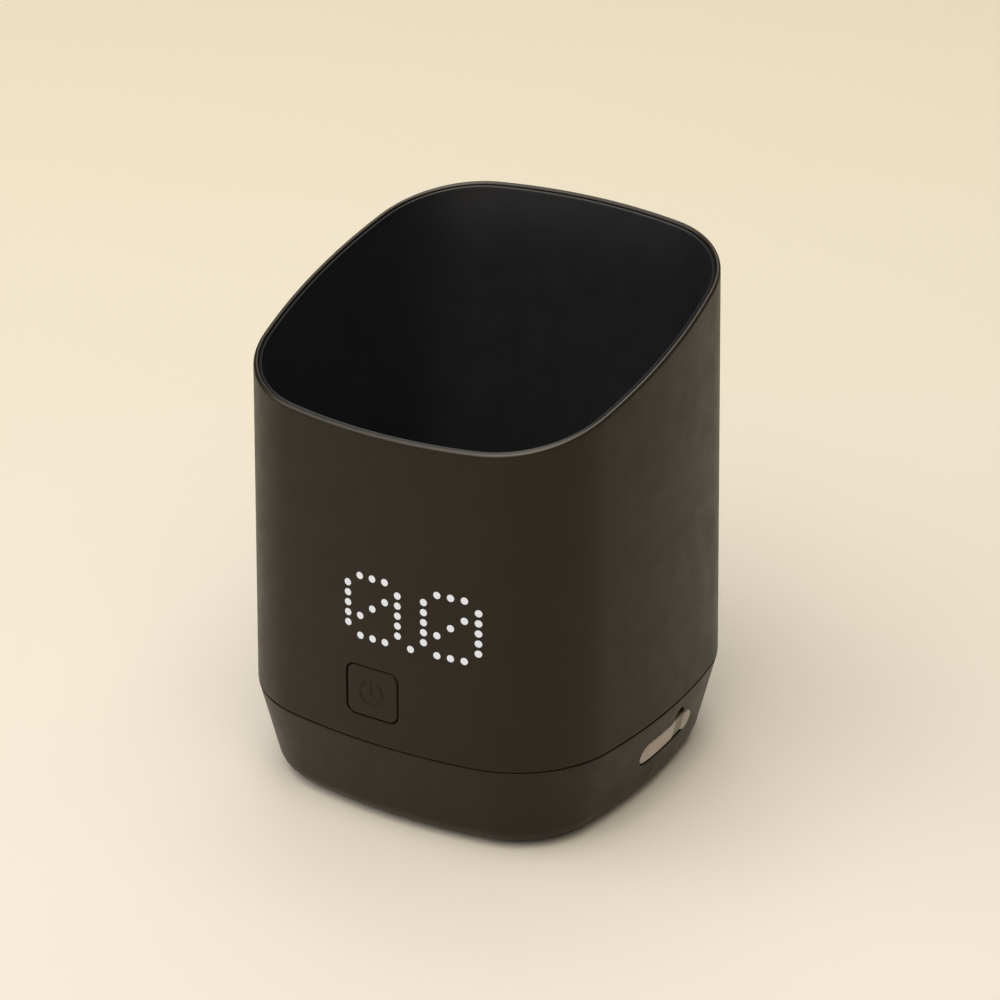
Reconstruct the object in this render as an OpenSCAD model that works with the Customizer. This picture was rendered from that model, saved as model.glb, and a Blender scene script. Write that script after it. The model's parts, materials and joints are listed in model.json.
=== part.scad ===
// Toothbrush sanitizer: a tapered square cup with a slanted mouth, a dot-matrix read-out,
// a power button, a rechargeable base and an ultraviolet lamp under a window in its floor.
// Millimetres. Z is up, the read-out faces -Y and the charging port faces +X.
// The origin is the centre of the footprint, on the surface that the feet stand on.

/* [Body] */
// Width and depth of the body at its mouth, across the middles of its sides
body_w = 78; // [70:1:100]
// Radius of each bowed side, seen from above
side_r = 115.6; // [105:0.2:160]
// Radius of the four upright corners at the mouth
corner_r = 21.1; // [17:0.1:24]
// Lean of the upper walls towards the mouth, in degrees
draft = 1; // [0:0.1:1.5]
// Height of the mouth's centre
mouth_z = 93.3; // [90:0.1:120]
// Tilt of the mouth, lower at the front, in degrees
mouth_tilt = 14.7; // [5:0.1:16]
// Thickness of the outer wall
wall = 1.6; // [1.4:0.1:1.8]

/* [Rim] */
// Thickness of the outer wall's top edge
rim_t = 0.95; // [0.8:0.05:1.1]
// Gap between the outer wall and the cup's lip
rim_gap = 0.25; // [0.25:0.05:0.3]
// Thickness of the cup's lip
lip_t = 0.4; // [0.4:0.05:0.6]
// How far the cup's lip sits below the outer wall's edge
lip_drop = 0.3; // [0.2:0.1:1]

/* [Cup] */
// Thickness of the cup's wall
cup_wall = 1.2; // [1:0.1:1.3]
// Height of the cup's floor
cup_floor_z = 24.3; // [23.8:0.1:25.3]
// Thickness of the cup's floor
cup_floor_t = 3; // [3:0.1:3.2]
// How far the lower cup sits behind the body's centre
cup_back = 2.4; // [2.2:0.1:2.4]

/* [Base] */
// Height of the seam between the base and the body
seam_z = 19.4; // [19.1:0.1:19.6]
// Half width of the base's wall where it would meet its underside
base_half = 35.7; // [35:0.1:37]
// Corner radius of the base at its underside
base_corner_r = 17; // [15:0.1:18]
// Side radius of the base at its underside
base_side_r = 106.8; // [100:0.2:115]
// Radius of the edge around the underside
base_edge_r = 3.7; // [3:0.1:4]
// Thickness of the base's wall
base_wall = 2.4; // [2.2:0.1:2.6]
// Height of the underside above the surface
foot_gap = 0.6; // [0.4:0.1:0.8]
// Distance of the feet and base screws from each centre line
foot_xy = 23.3; // [23:0.1:23.4]

/* [Display] */
// Diameter of each lit dot
dot_d = 1.45; // [1.3:0.05:1.6]
// Spacing of the dots across
dot_pitch_x = 2.737; // [2.6:0.001:2.75]
// Spacing of the dots up
dot_pitch_z = 2.065; // [1.95:0.005:2.1]
// Height of the top row of dots
dot_top_z = 54; // [53.3:0.1:54.8]
// Sideways place of the display's centre column
display_x = -0.67; // [-1:0.01:0.5]

/* [Button] */
// Width of the button cap
button_w = 11.1; // [10:0.1:12]
// Height of the button cap
button_h = 10.3; // [9.5:0.1:11]
// Corner radius of the button cap
button_r = 1.8; // [1.2:0.1:4]
// Groove between the button cap and the wall
button_gap = 0.3; // [0.25:0.05:0.4]
// Sideways place of the button
button_x = -1; // [-2:0.1:0]
// Height of the button's centre
button_z = 30; // [29.5:0.1:30.5]
// Travel of the button
button_travel = 0.5; // [0.3:0.05:0.5]

/* [Port] */
// Length of the port's cover
cover_l = 19.7; // [18.5:0.1:20]
// Height of the port's cover
cover_h = 4.6; // [4.2:0.1:5]
// Thickness of the port's cover
cover_t = 1.3; // [1.2:0.05:1.4]
// Place of the cover's middle along the right side
cover_y = 3.2; // [3:0.1:3.4]
// Height of the port's centre
port_z = 11.25; // [11.1:0.05:11.4]
// Place of the socket along the right side
port_y = 1.5; // [1.3:0.1:1.7]

/* [Hidden] */
$fn = 48;
tilt_k = tan(mouth_tilt);
draft_k = tan(draft);
half = body_w / 2;

// Corner centre of the outline; every inward or outward offset keeps it.
function corner_c(h, sr, cr) =
    let (c = sr - h, r = sr - cr) (sqrt(2 * r * r - c * c) - c) / 2;
cc = corner_c(half, side_r, corner_r);
side_a = atan2(cc, cc + side_r - half);

// Outward directions at which each ring is sampled: side arc first, then corner arc.
side_steps = 8;
corner_steps = 16;
quarter = concat(
    [for (i = [0 : side_steps - 1]) side_a * (2 * i / side_steps - 1)],
    [for (i = [0 : corner_steps - 1]) side_a + (90 - 2 * side_a) * i / corner_steps]);
dirs = [for (k = [0 : 3]) for (a = quarter) a + 90 * k];

function turn(p, a) = [p[0] * cos(a) - p[1] * sin(a), p[0] * sin(a) + p[1] * cos(a)];
// Point of a four-arc-and-four-corner outline whose outward direction is a.
function edge(a, h, sr, cr) =
    let (
        u = corner_c(h, sr, cr),
        s = atan2(u, u + sr - h),
        k = floor((a + s) / 90),
        q = a - 90 * k,
        p = q < s
            ? [h - sr + sr * cos(q), sr * sin(q)]
            : [u + cr * cos(q), u + cr * sin(q)])
    turn(p, 90 * k);

// Body outline moved outward by out, as a ring at height z, shifted back by dy.
function ring(out, z, dy = 0) =
    [for (a = dirs) let (p = edge(a, half + out, side_r + out, corner_r + out)) [p[0], p[1] + dy, z]];
// How far the body's outer wall stands outside the mouth's outline at height z.
function out_at(z) = (mouth_z - z) * draft_k;
function wall_ring(inset, z) = ring(out_at(z) - inset, z);
// The same wall cut by the slanted mouth, inset from it and dropped below it.
function mouth_ring(inset, drop = 0) =
    [for (a = dirs)
        let (
            p = edge(a, half - inset, side_r - inset, corner_r - inset),
            o = draft_k * (drop - tilt_k * p[1]),
            x = p[0] + o * cos(a),
            y = p[1] + o * sin(a))
        [x, y, mouth_z - drop + tilt_k * y]];
// Base outline at height z, inset from its outer wall.
seam_out = out_at(seam_z);
function mix(a, b, t) = a + (b - a) * t;
function base_ring(z, inset) =
    let (
        t = (z - foot_gap) / (seam_z - foot_gap),
        h = mix(base_half, half + seam_out, t) - inset,
        sr = mix(base_side_r, side_r + seam_out, t) - inset,
        cr = mix(base_corner_r, corner_r + seam_out, t) - inset)
    [for (a = dirs) let (p = edge(a, h, sr, cr)) [p[0], p[1], z]];

// Outer surface of the front wall: y at a given x and z.
function front_y(x, z, inset = 0) =
    let (
        o = out_at(z) - inset,
        r = side_r + o,
        cr = corner_r + o,
        flat_x = r * sin(side_a))
    abs(x) <= flat_x
        ? -(half + o - r + sqrt(r * r - x * x))
        : -(cc + sqrt(cr * cr - pow(abs(x) - cc, 2)));

// Base
base_slope = atan2(half + seam_out - base_half, seam_z - foot_gap);
base_floor_z = foot_gap + 2;
seam_half_gap = 0.15;
tongue_top_z = seam_z + 2.5;
tongue_in = wall + 0.15;
tongue_t = 1.2;
foot_d = 8;
foot_t = 1.4;
foot_pocket_z = foot_gap + 0.9;
corners = [[-1, -1], [1, -1], [1, 1], [-1, 1]];

// Fasteners that hold the base to the cup
base_screw_r = 1.45;
base_head_r = 2.7;
base_head_z = 3.9;
base_head_t = 1.6;
base_screw_top = 18;
base_post_r = 4;
base_post_top = 10.6;
cup_post_r = 3.2;
cup_post_low = 10.9;
cup_post_bore_r = 1.5;

// Cup
lip_in = rim_t + rim_gap;
cup_mid_z = 61;
cup_mid_out = -3.9;
cup_low_out = -5.9;
cup_low_z = cup_floor_z - cup_floor_t;
window_r = 12.4;
window_t = 1.5;
window_hole_r = 10;
gasket_t = 0.4;
seat_r = 12.6;
seat_z = cup_floor_z - window_t - gasket_t;
lamp_bosses = [for (a = [30, 150, 270]) 13.2 * [cos(a), sin(a)]];
lamp_boss_r = 2.2;
lamp_board_t = 1.2;
lamp_board_top = cup_low_z - 1.2;
lamp_board_r = 15.6;
small_bore_r = 0.75;
screw_hole_r = 0.9;
emitter_w = 3.5;
emitter_t = 1.2;
emitter_lens_r = 1.3;
emitter_ring_r = 5.5;

// Front board, display and switch
board_front_y = -35.3;
board_t = 1;
board_half_x = 23;
board_low_z = 23.4;
board_high_z = 60.8;
front_screw_x = 20.5;
front_screw_zs = [26.4, 58.2];
boss_r = 2.3;
boss_l = 1.9;
boss_bore_l = 1.6;
front_screws_at = [for (x = [-front_screw_x, front_screw_x]) for (z = front_screw_zs) [x, z]];
columns = 5;
rows = 7;
digit_step = 6 * dot_pitch_x;
digit_xs = [for (k = [-1 : 1]) display_x + k * digit_step];
function dot_x(digit, col) = digit_xs[digit] + (col - 2) * dot_pitch_x;
function dot_z(row) = dot_top_z - row * dot_pitch_z;
// The leading place only ever shows a 1, so it has the last three columns.
first_col = [2, 0, 0];
matrix = concat(
    [for (d = [0 : 2]) for (c = [first_col[d] : columns - 1]) for (r = [0 : rows - 1])
        [dot_x(d, c), dot_z(r)]],
    [for (d = [0 : 1]) [dot_x(d, columns), dot_z(rows - 1)]]);
// A slashed nought: both sides, top and bottom, and a diagonal.
function in_nought(c, r) =
    (c == 0 || c == 4) ? (r > 0 && r < 6) : (r == 0 || r == 6 || r == 5 - c);
lit_dots = concat(
    [for (d = [1 : 2]) for (c = [0 : columns - 1]) for (r = [0 : rows - 1])
        if (in_nought(c, r)) [dot_x(d, c), dot_z(r)]],
    [[dot_x(1, columns), dot_z(rows - 1)]]);
dot_depth = 0.6;
mask_low_z = dot_z(rows - 1) - 1.3;
mask_high_z = dot_top_z + 1.3;
mask_low_x = dot_x(0, first_col[0]) - 1.2;
mask_high_x = dot_x(2, columns - 1) + 1.2;
mask_steps = 20;
mask_r = 0.85;

// Button
cap_front_y = front_y(button_x, button_z);
flange_t = 0.8;
// The flat flange clears the inside of the bowed wall.
flange_y = cap_front_y + wall + 0.45;
cap_inner_y = flange_y + flange_t;
mark_r = 2.45;
mark_stroke = 0.6;
mark_d = 0.15;
mark_gap = 33;
switch_t = 1;
switch_w = 6;
stem_r = 1;
stem_front_y = board_front_y - 1.5;

// Main board, battery and socket
main_top_z = port_z - 1.63;
main_t = 1.2;
main_half = 29;
standoff_x = 26;
standoff_y = 14;
standoffs = [for (c = corners) [c[0] * standoff_x, c[1] * standoff_y]];
standoff_r = 2.5;
standoff_bore_r = 1;
battery_size = [34, 50, 4.8];
pad_t = 0.5;
socket_l = 7.3;
socket_w = 8.94;
socket_h = 3.26;
socket_mouth_x = 36.2;
socket_wall = 0.3;
socket_gap = 0.45;
tongue_w = 6.6;
tongue_l = 5.2;
tongue_h = 0.7;

// Port cover: the local frame lies on the base's sloping right wall.
wall_x = base_half + (port_z - foot_gap) * tan(base_slope);
recess_gap = 0.3;
recess_d = 1.7;
cover_low = -cover_l / 2;
hinge_u = cover_low + 2.2;
cover_face_r = base_side_r + 5;
neck_w = 3.4;
neck_inset = 0.35;
tab_l = 2.9;
tab_rise = 0.25;
tab_u = cover_l / 2 - tab_l;
neck_u = tab_u - neck_w;
// Finger notch in the recess's upper edge, over the neck.
notch_u = neck_u;
notch_v = cover_h / 2 + 0.2;
notch_r = 2.5;

// ---------- shared shapes ----------

// Solid skinned over rings, capped at the first and the last.
module loft(rings) {
    n = len(dirs);
    last = (len(rings) - 1) * n;
    points = [for (r = rings) each r];
    sides = [for (j = [0 : len(rings) - 2]) for (i = [0 : n - 1])
        let (a = j * n + i, b = j * n + (i + 1) % n) each [[b, a, a + n], [b, a + n, b + n]]];
    caps = [[for (i = [0 : n - 1]) i], [for (i = [n - 1 : -1 : 0]) last + i]];
    polyhedron(points, concat(caps, sides), convexity = 6);
}

// Closed band skinned over rings that return to the first.
module band(rings) {
    n = len(dirs);
    m = len(rings);
    points = [for (r = rings) each r];
    faces = [for (j = [0 : m - 1]) for (i = [0 : n - 1])
        let (
            a = j * n + i,
            b = j * n + (i + 1) % n,
            c = ((j + 1) % m) * n + i,
            d = ((j + 1) % m) * n + (i + 1) % n)
        each [[b, a, c], [b, c, d]]];
    polyhedron(points, faces, convexity = 6);
}

// Cylinder along +Y that starts at y.
module y_rod(x, y, z, r, l) {
    translate([x, y, z]) rotate([-90, 0, 0]) cylinder(h = l, r = r);
}

// Rectangle with rounded corners, centred, w across and h up.
module rounded_rect(w, h, r) {
    square([w - 2 * r, h], center = true);
    square([w, h - 2 * r], center = true);
    for (c = corners)
        translate([c[0] * (w / 2 - r), c[1] * (h / 2 - r)]) circle(r);
}

// Stadium, centred, l long and h high.
module slot_shape(l, h) {
    square([l - h, h], center = true);
    for (s = [-1, 1])
        translate([s * (l - h) / 2, 0]) circle(h / 2);
}

// Prism along +Y with a rounded rectangle section, starting at y.
module y_block(w, h, r, y, l) {
    translate([button_x, y + l, button_z]) rotate([90, 0, 0])
        linear_extrude(l) rounded_rect(w, h, r);
}

// Round wire through a list of points.
module wire(path, d) {
    for (i = [0 : len(path) - 2]) {
        v = path[i + 1] - path[i];
        translate(path[i])
            rotate([0, acos(v[2] / norm(v)), atan2(v[1], v[0])])
                cylinder(h = norm(v), d = d, $fn = 24);
    }
    if (len(path) > 2)
        for (i = [1 : len(path) - 2])
            translate(path[i]) sphere(d = d, $fn = 24);
}

// Pan-head screw that points up from z = 0 at the underside of its head.
module screw(head_r, head_t, shank_r, shank_l) {
    difference() {
        union() {
            translate([0, 0, -head_t]) cylinder(h = head_t, r = head_r);
            cylinder(h = shank_l, r = shank_r);
        }
        for (a = [0, 90])
            translate([0, 0, -head_t]) rotate(a)
                cube([head_r * 1.1, head_r * 0.3, head_t], center = true);
    }
}

// Frame on the right wall: X along the body's side, Y up the wall, Z outward.
module on_port_wall() {
    translate([wall_x, cover_y, port_z]) rotate([0, base_slope, 0]) rotate([90, 0, 90]) children();
}

// Keeps what lies within the wall's bowed surface, less an inset.
module under_wall_face(inset) {
    intersection() {
        children();
        translate([-cover_y, -20, -cover_face_r - inset]) rotate([-90, 0, 0])
            cylinder(h = 40, r = cover_face_r, $fn = 720);
    }
}

// ---------- casing ----------

module outer_shell() {
    low_z = seam_z + seam_half_gap;
    color([0.2, 0.18, 0.16]) difference() {
        union() {
            band([
                wall_ring(0, low_z),
                mouth_ring(0),
                mouth_ring(rim_t),
                wall_ring(wall, cup_mid_z),
                wall_ring(wall, low_z)]);
            for (p = front_screws_at)
                y_rod(p[0], board_front_y - boss_l, p[1], boss_r, boss_l);
        }
        for (p = front_screws_at)
            y_rod(p[0], board_front_y - boss_bore_l, p[1], small_bore_r, boss_bore_l + 1);
        for (p = lit_dots)
            y_rod(p[0], front_y(p[0], p[1]) + dot_depth - 3, p[1], dot_d / 2 + 0.01, 3);
        y_block(button_w + 2 * button_gap, button_h + 2 * button_gap, button_r + button_gap,
            cap_front_y - 2, 6);
    }
}

module inner_cup() {
    color([0.1, 0.1, 0.11]) difference() {
        union() {
            loft([
                ring(cup_low_out, cup_low_z, cup_back),
                ring(cup_mid_out, cup_mid_z, cup_back),
                mouth_ring(lip_in, lip_drop),
                mouth_ring(lip_in + lip_t, lip_drop),
                ring(cup_mid_out - cup_wall, cup_mid_z, cup_back),
                ring(cup_low_out - cup_wall, cup_floor_z, cup_back)]);
            for (c = corners)
                translate([c[0] * foot_xy, c[1] * foot_xy, cup_post_low])
                    cylinder(h = cup_low_z - cup_post_low + 0.5, r = cup_post_r);
            for (p = lamp_bosses)
                translate([p[0], p[1] + cup_back, lamp_board_top])
                    cylinder(h = cup_low_z - lamp_board_top + 0.5, r = lamp_boss_r);
        }
        translate([0, cup_back, seat_z]) cylinder(h = 5, r = seat_r);
        translate([0, cup_back, cup_low_z - 1]) cylinder(h = 5, r = window_hole_r);
        for (c = corners)
            translate([c[0] * foot_xy, c[1] * foot_xy, cup_post_low - 1])
                cylinder(h = base_screw_top - cup_post_low + 1.5, r = cup_post_bore_r);
        for (p = lamp_bosses)
            translate([p[0], p[1] + cup_back, lamp_board_top - 1])
                cylinder(h = 2.7, r = small_bore_r);
    }
}

module rim_seal() {
    outer_in = rim_t + 0.09;
    inner_in = lip_in - 0.03;
    top = lip_drop + 0.4;
    color([0.05, 0.05, 0.05]) band([
        mouth_ring(outer_in, top + 1.6),
        mouth_ring(outer_in, top),
        mouth_ring(inner_in, top),
        mouth_ring(inner_in, top + 1.6)]);
}

module base_shell() {
    edge_steps = 5;
    seam_low = seam_z - seam_half_gap;
    color([0.19, 0.17, 0.14]) difference() {
        union() {
            loft(concat(
                [for (i = [edge_steps : -1 : 0])
                    let (a = 90 * i / edge_steps)
                    base_ring(foot_gap + base_edge_r * (1 - sin(a)), base_edge_r * (1 - cos(a)))],
                [
                    base_ring(seam_low, 0),
                    wall_ring(tongue_in, seam_low),
                    wall_ring(tongue_in, tongue_top_z),
                    wall_ring(tongue_in + tongue_t, tongue_top_z),
                    base_ring(seam_low - 2, base_wall),
                    base_ring(base_floor_z + 1, base_wall),
                    base_ring(base_floor_z, base_wall + 1)]));
            for (c = corners)
                translate([c[0] * foot_xy, c[1] * foot_xy, foot_gap + 1])
                    cylinder(h = base_post_top - foot_gap - 1, r = base_post_r);
            for (p = standoffs)
                translate([p[0], p[1], foot_gap + 1])
                    cylinder(h = main_top_z - main_t - foot_gap - 1, r = standoff_r);
        }
        for (c = corners)
            translate([c[0] * foot_xy, c[1] * foot_xy, 0]) {
                cylinder(h = foot_pocket_z, d = foot_d + 0.2);
                cylinder(h = base_head_z + base_head_t, r = base_head_r + 0.2);
                cylinder(h = 20, r = base_screw_r + 0.15);
            }
        for (p = standoffs)
            translate([p[0], p[1], 4]) cylinder(h = 10, r = standoff_bore_r);
        on_port_wall() {
            translate([0, 0, -recess_d])
                linear_extrude(10) slot_shape(cover_l + 2 * recess_gap, cover_h + 2 * recess_gap);
            translate([notch_u, notch_v, -recess_d]) cylinder(h = 5, r = notch_r);
        }
        translate([socket_mouth_x - 6, port_y, port_z]) rotate([90, 0, 90])
            linear_extrude(12) slot_shape(socket_w + 2 * socket_gap, socket_h + 2 * socket_gap);
    }
}

module seam_gasket() {
    gap = seam_half_gap - 0.03;
    color([0.04, 0.04, 0.04]) band([
        wall_ring(0.5, seam_z - gap),
        wall_ring(0.5, seam_z + gap),
        wall_ring(wall, seam_z + gap),
        wall_ring(wall, seam_z - gap)]);
}

module foot(i) {
    c = corners[i];
    color([0.08, 0.08, 0.08]) translate([c[0] * foot_xy, c[1] * foot_xy, 0]) {
        cylinder(h = 0.3, r1 = foot_d / 2 - 0.3, r2 = foot_d / 2);
        translate([0, 0, 0.3]) cylinder(h = foot_t - 0.3, d = foot_d);
    }
}

module base_screws() {
    color([0.6, 0.6, 0.62]) for (c = corners)
        translate([c[0] * foot_xy, c[1] * foot_xy, base_head_z + base_head_t])
            screw(base_head_r, base_head_t, base_screw_r, base_screw_top - base_head_z - base_head_t);
}

// ---------- ultraviolet lamp ----------

module uv_window() {
    color([0.75, 0.8, 0.9]) translate([0, cup_back, seat_z + gasket_t])
        cylinder(h = window_t, r = window_r);
}

module window_gasket() {
    color([0.85, 0.85, 0.82]) translate([0, cup_back, seat_z]) difference() {
        cylinder(h = gasket_t, r = window_r);
        translate([0, 0, -1]) cylinder(h = gasket_t + 2, r = window_hole_r + 0.3);
    }
}

module uv_board() {
    color([0.9, 0.9, 0.88]) translate([0, cup_back, lamp_board_top - lamp_board_t]) difference() {
        cylinder(h = lamp_board_t, r = lamp_board_r);
        for (p = lamp_bosses)
            translate([p[0], p[1], -1]) cylinder(h = lamp_board_t + 2, r = screw_hole_r);
    }
}

module uv_emitters() {
    for (a = [90, 210, 330])
        translate([emitter_ring_r * cos(a), emitter_ring_r * sin(a) + cup_back, lamp_board_top])
            rotate(a) color([0.9, 0.88, 0.8]) difference() {
                translate([0, 0, emitter_t / 2]) cube([emitter_w, emitter_w, emitter_t], center = true);
                translate([0, 0, 0.5]) cylinder(h = emitter_t, r = emitter_lens_r);
            }
}

module uv_screws() {
    color([0.7, 0.7, 0.72]) for (p = lamp_bosses)
        translate([p[0], p[1] + cup_back, lamp_board_top - lamp_board_t])
            screw(1.5, 0.9, 0.72, 2.6);
}

lead_x = 8;
module uv_leads() {
    color([0.75, 0.1, 0.08]) for (s = [-1, 1])
        wire([[-lead_x, cup_back + s * 1.3, main_top_z + 3.4],
            [-lead_x, cup_back + s * 1.3, lamp_board_top - lamp_board_t]], 1);
}

// ---------- front board ----------

module front_board() {
    color([0.05, 0.25, 0.16]) difference() {
        translate([-board_half_x, board_front_y, board_low_z])
            cube([2 * board_half_x, board_t, board_high_z - board_low_z]);
        for (p = front_screws_at)
            y_rod(p[0], board_front_y - 1, p[1], screw_hole_r, board_t + 2);
    }
}

module front_screws() {
    color([0.7, 0.7, 0.72]) for (p = front_screws_at)
        translate([p[0], board_front_y + board_t, p[1]]) rotate([90, 0, 0])
            screw(1.5, 0.8, 0.72, 2.4);
}

module light_mask() {
    inset = wall + 0.15;
    xs = [for (i = [0 : mask_steps]) mix(mask_low_x, mask_high_x, i / mask_steps)];
    front = [for (x = xs) [x, front_y(x, mask_high_z, inset)]];
    back_y = board_front_y - 0.05;
    color([0.85, 0.85, 0.83]) difference() {
        translate([0, 0, mask_low_z]) linear_extrude(mask_high_z - mask_low_z)
            polygon(concat(front, [[mask_high_x, back_y], [mask_low_x, back_y]]));
        for (p = matrix)
            y_rod(p[0], -45, p[1], mask_r, 20);
    }
}

module display_leds() {
    color([0.95, 0.93, 0.8]) for (p = matrix)
        translate([p[0] - 0.5, board_front_y - 0.5, p[1] - 0.3]) cube([1, 0.5, 0.6]);
}

module display_dots() {
    color([1, 1, 1]) for (p = lit_dots)
        y_rod(p[0], front_y(p[0], p[1]) - 0.01, p[1], dot_d / 2, dot_depth);
}

module switch_body() {
    color([0.15, 0.15, 0.16]) difference() {
        translate([button_x - switch_w / 2, board_front_y - switch_t, button_z - switch_w / 2])
            cube([switch_w, switch_t, switch_w]);
        y_rod(button_x, board_front_y - switch_t - 1, button_z, stem_r + 0.08, switch_t + 0.85);
    }
}

module switch_stem() {
    color([0.8, 0.8, 0.78])
        y_rod(button_x, stem_front_y, button_z, stem_r, 0.8);
}

module power_button() {
    mark_y = cap_front_y - 1;
    bar_top = mark_r + 0.45;
    color([0.18, 0.16, 0.14]) difference() {
        union() {
            intersection() {
                y_block(button_w, button_h, button_r, cap_front_y - 1, cap_inner_y - cap_front_y + 1);
                translate([0, cap_front_y + side_r + 0.02, 0]) cylinder(h = 60, r = side_r, $fn = 180);
            }
            y_block(button_w + 2, button_h + 2, button_r + 1, flange_y, flange_t);
            y_rod(button_x, cap_inner_y - 0.1, button_z, 2, stem_front_y - cap_inner_y + 0.1);
        }
        translate([button_x, mark_y, button_z]) rotate([-90, 0, 0]) {
            rotate(mark_gap - 90) rotate_extrude(angle = 360 - 2 * mark_gap)
                translate([mark_r - mark_stroke / 2, 0]) square([mark_stroke, 1 + mark_d]);
            translate([-mark_stroke / 2, -bar_top, 0])
                cube([mark_stroke, bar_top + 0.6, 1 + mark_d]);
        }
    }
}

ribbon_w = 10;
ribbon_t = 0.2;
ribbon_y = board_front_y + board_t + 0.5;
ribbon_bend = 3;
ribbon_low = main_top_z + 1;
module ribbon_cable() {
    color([0.85, 0.55, 0.2]) translate([-ribbon_w / 2, 0, 0]) {
        translate([0, ribbon_y, ribbon_low + ribbon_bend])
            cube([ribbon_w, ribbon_t, board_low_z + 3 - ribbon_low - ribbon_bend]);
        translate([0, ribbon_y + ribbon_bend, ribbon_low + ribbon_bend]) rotate([90, 0, 90])
            rotate([0, 0, 180]) rotate_extrude(angle = 90)
                translate([ribbon_bend - ribbon_t, 0]) square([ribbon_t, ribbon_w]);
        translate([0, ribbon_y + ribbon_bend, ribbon_low]) cube([ribbon_w, 2.2, ribbon_t]);
    }
}

// ---------- main board and battery ----------

module main_board() {
    color([0.05, 0.3, 0.18]) translate([0, 0, main_top_z - main_t]) difference() {
        linear_extrude(main_t) {
            rounded_rect(2 * main_half, 2 * main_half, 4);
            translate([main_half - 2, port_y - 6]) square([7.6, 12]);
        }
        for (c = corners)
            translate([c[0] * foot_xy, c[1] * foot_xy, -1]) cylinder(h = 4, r = base_post_r + 0.4);
        for (p = standoffs)
            translate([p[0], p[1], -1]) cylinder(h = 4, r = 1.1);
    }
}

module board_screws() {
    color([0.7, 0.7, 0.72]) for (p = standoffs)
        translate([p[0], p[1], main_top_z]) rotate([180, 0, 0]) screw(1.9, 1.2, 0.98, 5);
}

module chip(x, y, size) {
    translate([x - size[0] / 2, y - size[1] / 2, main_top_z]) cube(size);
}

module control_chip() {
    color([0.08, 0.08, 0.09]) chip(2, 12, [7, 7, 0.9]);
}

module charge_chip() {
    color([0.08, 0.08, 0.09]) chip(20, 4, [4, 4, 0.9]);
}

module power_coil() {
    color([0.25, 0.25, 0.27]) translate([14, -8, main_top_z]) {
        cylinder(h = 0.8, r = 3.2);
        translate([0, 0, 0.8]) cylinder(h = 1.6, r = 2.4);
        translate([0, 0, 2.4]) cylinder(h = 0.8, r = 3.2);
    }
}

module capacitors() {
    color([0.7, 0.6, 0.45]) {
        for (i = [0 : 3])
            chip(12 + 2.4 * i, 20, [1.6, 0.8, 0.8]);
        for (i = [0 : 2])
            chip(6, -4 - 2.4 * i, [2, 1.2, 1.2]);
        for (i = [0 : 2])
            chip(-4 - 2.4 * i, 20, [1.6, 0.8, 0.8]);
    }
}

module cable_sockets() {
    color([0.92, 0.9, 0.85]) {
        difference() {
            chip(0, ribbon_y + ribbon_bend + 3, [13, 4, 2]);
            translate([-ribbon_w / 2 - 0.1, ribbon_y, ribbon_low - 0.1])
                cube([ribbon_w + 0.2, ribbon_bend + 2.3, ribbon_t + 0.2]);
        }
        chip(-lead_x, cup_back, [4, 6, 3.4]);
        chip(0, 24, [7, 4, 3.6]);
    }
}

battery_z = base_floor_z + pad_t;
module battery() {
    s = battery_size;
    color([0.72, 0.74, 0.76]) translate([0, 0, battery_z]) {
        linear_extrude(s[2]) rounded_rect(s[0], s[1] - 3, 1.5);
        translate([-s[0] / 2 + 1, s[1] / 2 - 2, s[2] / 2 - 0.5]) cube([s[0] - 2, 2, 1]);
        translate([-s[0] / 2 + 1, -s[1] / 2, s[2] / 2 - 0.5]) cube([s[0] - 2, 2, 1]);
    }
}

module battery_pad() {
    color([0.2, 0.2, 0.2]) translate([-14, -20, base_floor_z]) cube([28, 40, pad_t]);
}

module battery_leads() {
    lead_z = battery_z + battery_size[2] / 2;
    out_y = main_half + 2.2;
    top = main_top_z + 1.8;
    color([0.15, 0.15, 0.15]) for (s = [-1, 1])
        wire([[s * 1.5, battery_size[1] / 2, lead_z], [s * 1.5, out_y, lead_z],
            [s * 1.5, out_y, top], [s * 1.5, 26, top]], 1.2);
}

// ---------- charging port ----------

module usb_socket() {
    color([0.75, 0.76, 0.78]) translate([socket_mouth_x, port_y, port_z]) rotate([0, -90, 0])
        rotate(90) difference() {
            linear_extrude(socket_l) slot_shape(socket_w, socket_h);
            translate([0, 0, -1]) linear_extrude(socket_l)
                slot_shape(socket_w - 2 * socket_wall, socket_h - 2 * socket_wall);
        }
}

module usb_tongue() {
    color([0.1, 0.1, 0.1])
        translate([socket_mouth_x - socket_l + 1.05, port_y - tongue_w / 2, port_z - tongue_h / 2])
            cube([tongue_l, tongue_w, tongue_h]);
}

// Length of the silicone cover between two places along it, inset from the wall's face.
module cover_length(from_u, to_u, inset, depth) {
    under_wall_face(inset) intersection() {
        translate([0, 0, -depth]) linear_extrude(4) slot_shape(cover_l, cover_h);
        translate([from_u, -5, -5]) cube([to_u - from_u, 10, 10]);
    }
}

// Fixed end of the silicone cover, held in the recess.
module cover_anchor() {
    color([0.62, 0.57, 0.5]) on_port_wall()
        cover_length(cover_low - 1, hinge_u - 0.15, 0.1, recess_d - 0.05);
}

// Swinging flap: a flat bar, a thin neck to grip behind, a raised tab and a plug.
module port_cover() {
    plug_w = 6.6;
    plug_u = port_y - cover_y + 0.4;
    color([0.62, 0.57, 0.5]) on_port_wall() {
        cover_length(hinge_u + 0.15, neck_u, 0.1, cover_t);
        cover_length(neck_u, tab_u, neck_inset, cover_t);
        cover_length(tab_u, -cover_low + 1, -tab_rise, cover_t);
        translate([plug_u, 0, -cover_t - 0.9]) linear_extrude(1.2) slot_shape(plug_w, 2);
    }
}

// ---------- assembly ----------

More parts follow.
